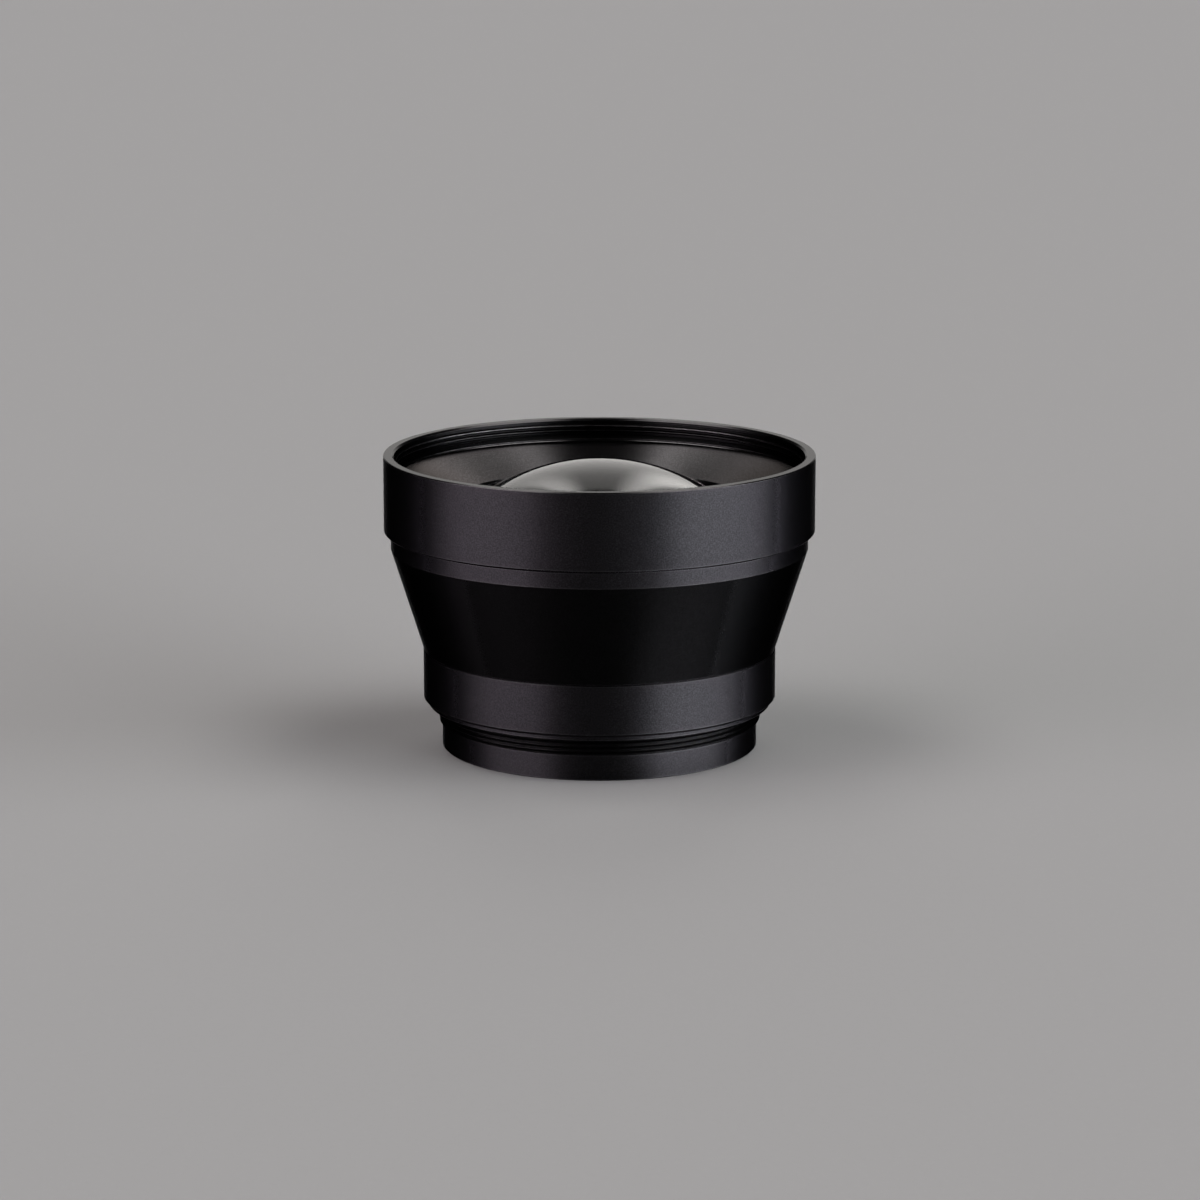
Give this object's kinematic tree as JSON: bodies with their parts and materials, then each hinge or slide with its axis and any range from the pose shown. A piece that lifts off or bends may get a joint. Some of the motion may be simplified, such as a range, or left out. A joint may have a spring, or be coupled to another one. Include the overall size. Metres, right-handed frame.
{
  "type": "camera teleconverter",
  "caption": "Black screw-on tele attachment lens: wide front ring with filter thread round a domed front glass, conical barrel, narrow rear cylinder, fine male thread and plain pilot.",
  "frame": {"origin": "on the optical axis, at the end face of the rear pilot that it stands on", "axes": "+Z along the optical axis, from the camera towards the subject; X and Y across it"},
  "size_m": [0.0652, 0.0652, 0.0449],
  "materials": {
    "black_anodised": "fine satin black anodising on turned aluminium",
    "matt_black_paint": "matt anti-reflection black",
    "coated_glass": "polished optical glass with a thin anti-reflection coating",
    "black_polymer": "moulded black acetal",
    "shim_steel": "rolled shim stock",
    "blackened_steel": "black oxide"
  },
  "bodies": {
    "root": {"front_ring": "black_anodised", "front_retainer": "black_anodised", "front_cushion_ring": "black_polymer", "front_crown_element": "coated_glass", "front_flint_element": "coated_glass", "front_cell": "matt_black_paint", "cell_shim": "shim_steel", "light_baffle": "matt_black_paint", "main_barrel": "black_anodised", "rear_barrel": "black_anodised", "mount_ring": "black_anodised", "flare_stop": "matt_black_paint", "rear_cell": "matt_black_paint", "rear_negative_element": "coated_glass", "rear_spacer": "matt_black_paint", "rear_meniscus_element": "coated_glass", "rear_retainer": "matt_black_paint", "rear_baffle": "matt_black_paint", "centring_screws": "blackened_steel", "rear_cell_screws": "blackened_steel"}
  },
  "joints": []
}
